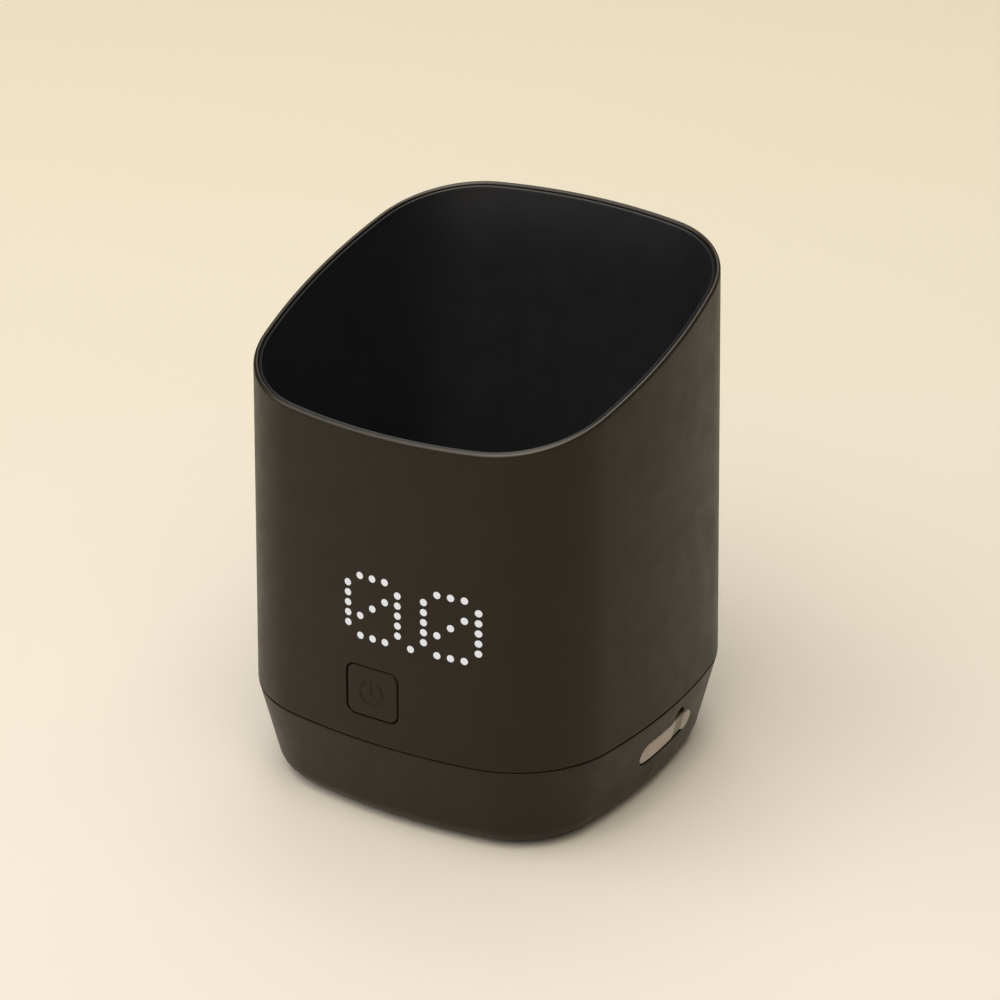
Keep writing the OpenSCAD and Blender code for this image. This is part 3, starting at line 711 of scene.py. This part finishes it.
def make_cup():
    """Liner with its lip, a rounded floor corner and the seat of the window."""
    lip_in = RIM_T + RIM_GAP
    low_z = CUP_FLOOR_Z - 3.0
    wall = 1.2
    mid_out, low_out = -3.9, -5.9          # outside of the liner from the mouth's outline
    fillet = 4.0
    lip_r = 0.22

    def inner_at(t):
        """Inner wall between the floor, t = 0, and the middle level, t = 1."""
        return mix_rings(
            offset_ring(low_out - wall, CUP_FLOOR_Z, CUP_BACK),
            offset_ring(mid_out - wall, CUP_MID_Z, CUP_BACK), t)

    rings = [offset_ring(low_out, low_z, CUP_BACK)]
    rings.append(offset_ring(mid_out, CUP_MID_Z, CUP_BACK))
    rings += [mouth_ring(lip_in, LIP_DROP + 1.0)]
    rings += [mouth_ring(lip_in + i, LIP_DROP + d) for i, d in rounded(4, lip_r, 0, 90)]
    rings += [mouth_ring(lip_in + LIP_T - i, LIP_DROP + d)
              for i, d in reversed(rounded(4, lip_r, 0, 90))]
    top_inner = mouth_ring(lip_in + LIP_T, LIP_DROP + 0.6)
    middle = inner_at(1)
    rings.append(top_inner)
    # Ease the bend between the mouth's slope and the lower wall.
    for t in (0.04, 0.5, 0.8):
        rings.append(mix_rings(top_inner, middle, t))
    below = inner_at(0.8)
    above = mix_rings(top_inner, middle, 0.8)
    for i in range(1, 6):
        t = i / 6
        curve = mix_rings(mix_rings(above, middle, t), mix_rings(middle, below, t), t)
        rings.append(curve)
    rings += [below, inner_at(0.5), inner_at(fillet / (CUP_MID_Z - CUP_FLOOR_Z) + 0.02)]
    floor_out = low_out - wall
    for i in range(7):
        a = i / 6 * math.pi / 2
        inset = fillet * (1 - math.cos(a))
        rise = fillet * (1 - math.sin(a))
        lean = (mid_out - low_out) * rise / (CUP_MID_Z - CUP_FLOOR_Z)
        rings.append(offset_ring(floor_out + lean - inset, CUP_FLOOR_Z + rise, CUP_BACK))
    rings.append(offset_ring(floor_out - fillet - 0.5, CUP_FLOOR_Z, CUP_BACK))

    def circle(r, z):
        return [(r * math.cos(a), CUP_BACK + r * math.sin(a), z) for a in DIRS]

    seat_r, hole_r, seat_z = 12.6, 10.0, CUP_FLOOR_Z - 1.9
    bevel = 0.35
    rings += [circle(seat_r + bevel + 1.5, CUP_FLOOR_Z), circle(seat_r + bevel, CUP_FLOOR_Z),
              circle(seat_r + bevel * 0.3, CUP_FLOOR_Z - bevel * 0.3),
              circle(seat_r, CUP_FLOOR_Z - bevel), circle(seat_r, seat_z),
              circle(hole_r, seat_z), circle(hole_r, low_z)]
    piece = ring_band(rings).build("cup_liner", "root", "cup_plastic", cup_plastic)
    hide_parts("inner_cup")


def band(name, rings, slot, material, node):
    """A closed band built in place of one CAD node, which it hides."""
    piece = ring_band(rings).build(name, "root", slot, material)
    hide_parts(node)


def make_seals():
    """The rings in the gap by the lip and in the seam, each with a slight crown."""
    clear = 0.03
    outer, inner = RIM_T + 0.09, RIM_T + RIM_GAP - clear
    crown = (outer + inner) / 2
    crest = LIP_DROP + 0.15                # depths below the mouth
    shoulder = crest + 0.08
    foot = LIP_DROP + 0.4 + 1.6
    band("rim_seal_ring",
         [mouth_ring(outer, foot), mouth_ring(outer, shoulder), mouth_ring(crown, crest),
          mouth_ring(inner, shoulder), mouth_ring(inner, foot)],
         "black_rubber", black_rubber, "rim_seal")
    low, high = SEAM_LOW_Z + clear, SHELL_LOW_Z - clear
    middle = (low + high) / 2
    edge_in, crown_in = 0.34, 0.26         # insets from the wall
    band("seam_seal_ring",
         [wall_ring(edge_in, low), wall_ring(crown_in, middle), wall_ring(edge_in, high),
          wall_ring(WALL, high), wall_ring(WALL, low)],
         "black_rubber", black_rubber, "seam_gasket")


# ---------------------------------------------------------------- base


def notch(u):
    """Extra height of the recess's upper edge, where a fingernail goes in."""
    reach, height, roundness = 2.5, 2.75, 0.6
    t = min(abs(u - NOTCH_U) / reach, 1.0)
    return height * (1 - t * t) ** roundness


def crowd(u, end):
    """Draws places along the recess's upper edge towards the notch and keeps its two ends."""
    even, drawn = 0.4, 0.6                 # shares of a place's old and new spacing
    span = end - NOTCH_U if u > NOTCH_U else end + NOTCH_U
    t = min((u - NOTCH_U) / span, 1.0) if u > NOTCH_U else max((u - NOTCH_U) / span, -1.0)
    return NOTCH_U + span * (even * t + drawn * t * abs(t)) if abs(u) < end else u


def make_base():
    """Tapered base with its tongue into the casing, the cover's recess and the socket's opening."""
    edge_r = SEAM_EDGE_R
    levels = [BASE_Z + BASE_EDGE_R + 0.4] + [5.4 + i for i in range(14)]
    rings = [base_ring(BASE_Z, BASE_EDGE_R + 2.5)]
    rings += [base_ring(BASE_Z + BASE_EDGE_R * (1 - math.sin(a)), BASE_EDGE_R * (1 - math.cos(a)))
              for a in (math.radians(90 - 9 * i) for i in range(11))]
    start = len(rings)
    rings += [base_ring(z) for z in levels]
    top = SEAM_LOW_Z
    rings += [base_ring(top - edge_r * (1 - math.sin(a)), edge_r * (1 - math.cos(a)))
              for a in (i * math.pi / 8 for i in range(5))]
    tongue_in, tongue_t, tongue_z = WALL + 0.15, 1.2, top + 2.65
    rings += [wall_ring(tongue_in, top), wall_ring(tongue_in, tongue_z),
              wall_ring(tongue_in + tongue_t, tongue_z)]
    inner_start = len(rings)
    rings += [base_ring(z, BASE_WALL) for z in reversed(levels)]
    rings += [base_ring(BASE_Z + 2, BASE_WALL + 1.5)]
    skin = Skin()
    rows = [skin.loop(r) for r in rings]
    ys = [p[1] if p[0] > 0 and i < SIDE_STEPS else FAR for i, p in enumerate(rings[start])]
    # The window cut for the recess clears it by these much, and by more above for the notch.
    beside, below, above = 1.3, 1.2, 3.2
    reach_u = COVER_L / 2 + RECESS_GAP + beside
    first, last = window_columns(COVER_Y - reach_u, COVER_Y + reach_u, ys)
    half_h = COVER_H / 2 + RECESS_GAP
    low = max(j for j, z in enumerate(levels) if z < PORT_Z - half_h - below) + start
    high = min(j for j, z in enumerate(levels) if z > PORT_Z + half_h + above) + start
    inner_high = inner_start + len(levels) - 1 - (high - start)
    inner_low = inner_start + len(levels) - 1 - (low - start)
    hidden = range(first, last)
    for j in range(len(rows) - 1):
        cut = low <= j < high or inner_high <= j < inner_low
        skin.bridge(rows[j], rows[j + 1], hidden if cut else ())
    skin.cap(rows[0])
    skin.cap(rows[-1])
    across, up = last - first, high - low
    arc = up // 2

    def on_wall(u, v, depth):
        """A point over the right wall: u along it, v up it, depth into it."""
        y = COVER_Y + u
        z = PORT_Z + v * math.cos(BASE_SLOPE)
        x = base_x(y, z)
        return (x - depth * math.cos(BASE_SLOPE), y, z + depth * math.sin(BASE_SLOPE))

    def recess(grow, depth):
        flat = rounded_loop(
            0, 0, COVER_L + 2 * (RECESS_GAP + grow), COVER_H + 2 * (RECESS_GAP + grow),
            half_h + grow, across, up, arc)
        end = COVER_L / 2 + RECESS_GAP - half_h
        flat = [(crowd(u, end) if v > half_h * 0.9 else u, v) for u, v in flat]
        return [on_wall(u, v + (notch(u) if v > 0 else 0), depth) for u, v in flat]

    def slot_hole(depth):
        flat = rounded_loop(PORT_Y - COVER_Y, 0, SLOT_L, SLOT_H, SLOT_H / 2, across, up, arc)
        return [on_wall(u, v, depth) for u, v in flat]

    loops = [window_edge(rows, first, last, low, high)]
    loops += [skin.loop(recess(0.7, 0)), skin.loop(recess(0.3, 0))]
    for step in range(5):
        a = step / 4 * math.pi / 2
        loops.append(skin.loop(recess(edge_r * (1 - math.sin(a)), edge_r * (1 - math.cos(a)))))
    loops += [skin.loop(recess(0, RECESS_D - 0.2)), skin.loop(recess(-0.2, RECESS_D)),
              skin.loop(slot_hole(RECESS_D)), skin.loop(slot_hole(BASE_WALL * 0.98))]
    inner = window_edge(list(reversed(rows)), first, last,
                        len(rows) - 1 - inner_low, len(rows) - 1 - inner_high)
    loops.append(inner)
    skin.chain(loops)
    piece = skin.build("base_tub", "root", "base_plastic", base_plastic)
    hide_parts("base_shell")


def make_feet():
    """Four silicone pads with soft edges."""
    steps = 48
    r, edge_r = FOOT_D / 2, 0.35
    profile = [(r * 0.55, 0.0)]
    profile += [(r - i, d) for i, d in reversed(rounded(5, edge_r, 0, 90))]
    profile += [(r, FOOT_T - 0.1), (r - 0.1, FOOT_T), (r * 0.5, FOOT_T)]
    for i in range(4):
        skin = Skin()
        x, y = foot_centre(i)
        loops = []
        for radius, z in profile:
            loops.append(skin.loop([
                (x + radius * math.cos(2 * math.pi * k / steps),
                 y + radius * math.sin(2 * math.pi * k / steps), z)
                for k in range(steps)]))
        skin.chain(loops)
        skin.cap(loops[0])
        skin.cap(loops[-1])
        piece = skin.build(f"foot_pad_{i + 1}", "root", "foot_rubber", foot_rubber)
        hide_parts(f"foot_{i + 1}")


def foot_centre(i):
    low, high = node_box(f"foot_{i + 1}")
    return ((low.x + high.x) / 2, (low.y + high.y) / 2)


# ---------------------------------------------------------------- port cover

HINGE_U = -COVER_L / 2 + 2.2


def port_frame():
    """Local frame of the cover: columns are along the wall, up the wall and outward."""
    s, c = math.sin(BASE_SLOPE), math.cos(BASE_SLOPE)
    x = BASE_HALF + (PORT_Z - BASE_Z) * math.tan(BASE_SLOPE)
    return Matrix(((0, s, c, x), (1, 0, 0, COVER_Y), (0, c, -s, PORT_Z), (0, 0, 0, 1)))


def smooth_step(a, b, t):
    t = min(max((t - a) / (b - a), 0.0), 1.0)
    return t * t * (3 - 2 * t)


def make_cover():
    """Silicone cover in one piece: fixed end, thin hinge, flat bar, sunk neck and raised tab."""
    to_world = port_frame()
    half_l, half_h = COVER_L / 2, COVER_H / 2
    tab = half_l - TAB_L
    neck = tab - NECK_W
    side_r = BASE_SIDE_R + 5               # the wall's bow at the cover's height
    sunk, tab_rise, neck_d, fold_d = 0.1, 0.35, 0.12, 0.25
    under, web_t = -1.3, 0.45

    def bow(u):
        y = COVER_Y + u
        return side_r - math.sqrt(side_r**2 - y * y)

    def top(u):
        """Height of the outer face above the local frame."""
        rise = tab_rise * smooth_step(tab - 0.1, tab + 0.7, u)
        past_tab = smooth_step(tab - 0.1, tab + 0.5, u)
        groove = neck_d * smooth_step(neck - 0.6, neck, u) * (1 - past_tab)
        fold = fold_d * math.exp(-((u - HINGE_U) / 0.22) ** 2)
        return -bow(u) - sunk + rise - groove - fold

    def half_width(u):
        end = half_l - half_h
        if abs(u) <= end:
            return half_h
        return math.sqrt(max(half_h**2 - (abs(u) - end) ** 2, 0.0))

    def bottom(u):
        web = math.exp(-((u - HINGE_U) / 0.35) ** 4)
        return mix(under - bow(u), top(u) - web_t, web)

    stations = [-half_l + half_h * (1 - math.cos(i * math.pi / 28)) for i in range(1, 15)]
    middle_steps = 110
    stations += [mix(-half_l + half_h, half_l - half_h, i / middle_steps)
                 for i in range(1, middle_steps + 1)]
    stations += [half_l - half_h + half_h * math.sin(i * math.pi / 28) for i in range(1, 14)]
    round_r = 0.4
    skin = Skin()
    loops = []
    for u in stations:
        w = half_width(u)
        r = min(round_r, w * 0.8)
        t, b = top(u), bottom(u)
        section = []
        for i in range(7):
            a = i / 6 * math.pi / 2
            section.append((w - r + r * math.cos(a), t - r + r * math.sin(a)))
        section += [((w - r) * k / 4, t) for k in (3, 2, 1, 0, -1, -2, -3)]
        for i in range(7):
            a = math.pi / 2 + i / 6 * math.pi / 2
            section.append((-w + r + r * math.cos(a), t - r + r * math.sin(a)))
        lower_r = min(0.15, w * 0.3)
        section += [(-w, b + lower_r), (-w + lower_r, b), (0, b),
                    (w - lower_r, b), (w, b + lower_r)]
        loops.append(skin.loop([tuple(to_world @ Vector((u, v, n))) for v, n in section]))
    skin.chain(loops)
    skin.cap(loops[0])
    skin.cap(loops[-1])
    piece = skin.build("port_cover_silicone", None, "cover_silicone", cover_silicone)
    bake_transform(piece)
    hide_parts("cover_anchor", "port_cover")


def make_plug():
    """Raised plug on the back of the cover that fills the socket's mouth."""
    to_world = port_frame()
    skin = Skin()
    u0 = PORT_Y - COVER_Y + 0.4

    def loop(w, h, n):
        flat = rounded_loop(u0, 0, w, h, h / 2, 16, 8, 4)
        return skin.loop([tuple(to_world @ Vector((u, v, n))) for u, v in flat])

    # Length, height and level of each loop, from the cover's back to the plug's rounded tip.
    sizes = [(6.6, 2.0, -1.25), (6.6, 2.0, -2.05), (6.4, 1.8, -2.17), (6.0, 1.4, -2.2)]
    loops = [loop(*size) for size in sizes]
    skin.chain(loops)
    skin.cap(loops[0])
    skin.cap(loops[-1])
    skin.build("port_cover_plug", "port_cover", "cover_silicone", cover_silicone)


# ---------------------------------------------------------------- read-out


def in_nought(column, row):
    """Whether a dot of the five by seven slashed nought is lit."""
    if column in (0, 4):
        return 0 < row < 6
    return row in (0, 6, 5 - column)


def lit_places():
    places = []
    for digit in range(2):
        for column in range(5):
            for row in range(7):
                if in_nought(column, row):
                    places.append((digit * 6 + column - 2, row))
    places.append((3, 6))
    return [(DIGIT_X + c * DOT_PITCH_X, DOT_TOP_Z - r * DOT_PITCH_Z) for c, r in places]


def make_dots():
    """Slightly domed light windows, flush with the front wall."""
    steps = 28
    skin = Skin()
    r = DOT_D / 2
    # Radius and height proud of the wall, from a dot's back to its crown.
    profile = [(r, -0.25), (r, 0.0), (r * 0.96, 0.02), (r * 0.8, 0.03), (r * 0.45, 0.035)]
    for x, z in lit_places():
        loops = []
        for radius, proud in profile:
            ring = []
            for k in range(steps):
                a = 2 * math.pi * k / steps
                px, pz = x + radius * math.cos(a), z + radius * math.sin(a)
                ring.append((px, front_y(px, pz) - proud, pz))
            loops.append(skin.loop(ring))
        skin.chain(loops)
        skin.cap(loops[-1])
        skin.cap(loops[0])
    piece = skin.build("readout_dots", "root", "lit_dots", lit_dots)
    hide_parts("display_dots")


# ---------------------------------------------------------------- CAD nodes that stay

SLOT_MATERIALS = {
    "black_rubber": black_rubber, "screw_steel": screw_steel, "window_glass": window_glass,
    "clear_silicone": clear_silicone, "lamp_board": lamp_board, "lamp_ceramic": lamp_ceramic,
    "red_wire": red_wire, "black_wire": black_wire, "circuit_board": circuit_board,
    "white_plastic": white_plastic, "black_plastic": black_plastic, "ribbon_film": ribbon_film,
    "coil_ferrite": coil_ferrite, "capacitor_body": capacitor_body, "battery_foil": battery_foil,
    "black_foam": black_foam, "socket_steel": socket_steel,
}


def finish_cad_nodes():
    for part in frame["record"]["subparts"]:
        node = frame["nodes"][part["node"]]
        material = SLOT_MATERIALS.get(part["material_slot"])
        if material and not node.hide_render:
            node.data.materials.clear()
            node.data.materials.append(material)


# ---------------------------------------------------------------- stage

AZIMUTH = math.radians(31.96)              # of the camera, from the front towards the right


def make_floor():
    material, tree, shader = new_material("floor_paper")
    place = tree.nodes.new("ShaderNodeTexCoord")
    depth = tree.nodes.new("ShaderNodeVectorMath")
    depth.operation = "DOT_PRODUCT"
    depth.inputs[1].default_value = (-math.sin(AZIMUTH), math.cos(AZIMUTH), 0)
    span = tree.nodes.new("ShaderNodeMapRange")
    near, far = -0.1, 0.46                 # along the view, where the painted light on the paper shifts
    span.inputs["From Min"].default_value = near
    span.inputs["From Max"].default_value = far
    ramp = tree.nodes.new("ShaderNodeValToRGB")
    # Painted light: the paper is painted cooler near the camera and warmer far off, standing in for
    # the lights' fall-off with distance.
    ramp.color_ramp.elements[0].color = (0.858, 0.838, 0.824, 1)
    ramp.color_ramp.elements[1].color = (0.90, 0.849, 0.718, 1)
    tree.links.new(place.outputs["Object"], depth.inputs[0])
    tree.links.new(depth.outputs["Value"], span.inputs["Value"])
    tree.links.new(span.outputs["Result"], ramp.inputs["Fac"])
    tree.links.new(ramp.outputs["Color"], shader.inputs["Base Color"])
    shader.inputs["Roughness"].default_value = 0.9
    shader.inputs["Specular IOR Level"].default_value = 0.1
    size = 6.0
    mesh = bpy.data.meshes.new("floor")
    corners = [(-size, -size, 0), (size, -size, 0), (size, size, 0), (-size, size, 0)]
    mesh.from_pydata(corners, [], [(0, 1, 2, 3)])
    floor = bpy.data.objects.new("floor", mesh)
    mesh.materials.append(material)
    bpy.context.scene.collection.objects.link(floor)


def area_light(name, place, target, size, power, colour):
    data = bpy.data.lights.new(name, "AREA")
    data.shape = "RECTANGLE"
    data.size, data.size_y = size
    data.energy = power
    data.color = colour
    light = bpy.data.objects.new(name, data)
    light.location = place
    direction = Vector(target) - Vector(place)
    light.rotation_mode = "QUATERNION"
    light.rotation_quaternion = direction.to_track_quat("-Z", "Y")
    bpy.context.scene.collection.objects.link(light)


def make_lights():
    soft, warm = (1.0, 0.945, 0.845), (1.0, 0.86, 0.60)
    aim = (0, 0, 0.03)
    area_light("key", (-0.9, -0.9, 1.3), aim, (1.8, 1.8), 12.4, soft)
    area_light("overhead", (0.0, 0.0, 1.9), aim, (1.8, 1.8), 16.2, soft)
    area_light("front_fill", (0.3, -1.4, 1.3), aim, (1.6, 1.6), 9.6, soft)
    area_light("right_fill", (0.7, -0.9, 1.8), aim, (1.6, 1.6), 13.6, warm)
    area_light("back_fill", (-0.5, 1.0, 1.5), aim, (1.2, 1.2), 4.4, soft)
    world = bpy.data.worlds.new("studio")
    bpy.context.scene.world = world
    world.use_nodes = True
    background = world.node_tree.nodes["Background"]
    background.inputs["Color"].default_value = (*warm, 1)
    background.inputs["Strength"].default_value = 0.06


def make_camera():
    azimuth, elevation = AZIMUTH, math.radians(26.56)
    distance = 0.7081
    lens = 132.15
    roll = math.radians(-0.237)
    target = Vector((0, 0, 0.0467))
    back = Vector((math.sin(azimuth) * math.cos(elevation),
                   -math.cos(azimuth) * math.cos(elevation), math.sin(elevation)))
    data = bpy.data.cameras.new("camera")
    data.lens = lens
    data.sensor_width = 36.0
    data.shift_x = 0.0109
    data.shift_y = 0.0331
    data.clip_start, data.clip_end = 0.05, 50.0
    camera = bpy.data.objects.new("camera", data)
    camera.location = target + back * distance
    camera.rotation_mode = "QUATERNION"
    look = (-back).to_track_quat("-Z", "Y")
    camera.rotation_quaternion = look @ Matrix.Rotation(roll, 3, "Z").to_quaternion()
    bpy.context.scene.collection.objects.link(camera)
    bpy.context.scene.camera = camera


# ---------------------------------------------------------------- assembly

make_camera()
make_floor()
make_lights()
make_shell()
make_button()
make_cup()
make_seals()
make_base()
make_feet()
make_cover()
make_plug()
make_dots()
finish_cad_nodes()
bpy.context.scene.view_settings.view_transform = "Standard"
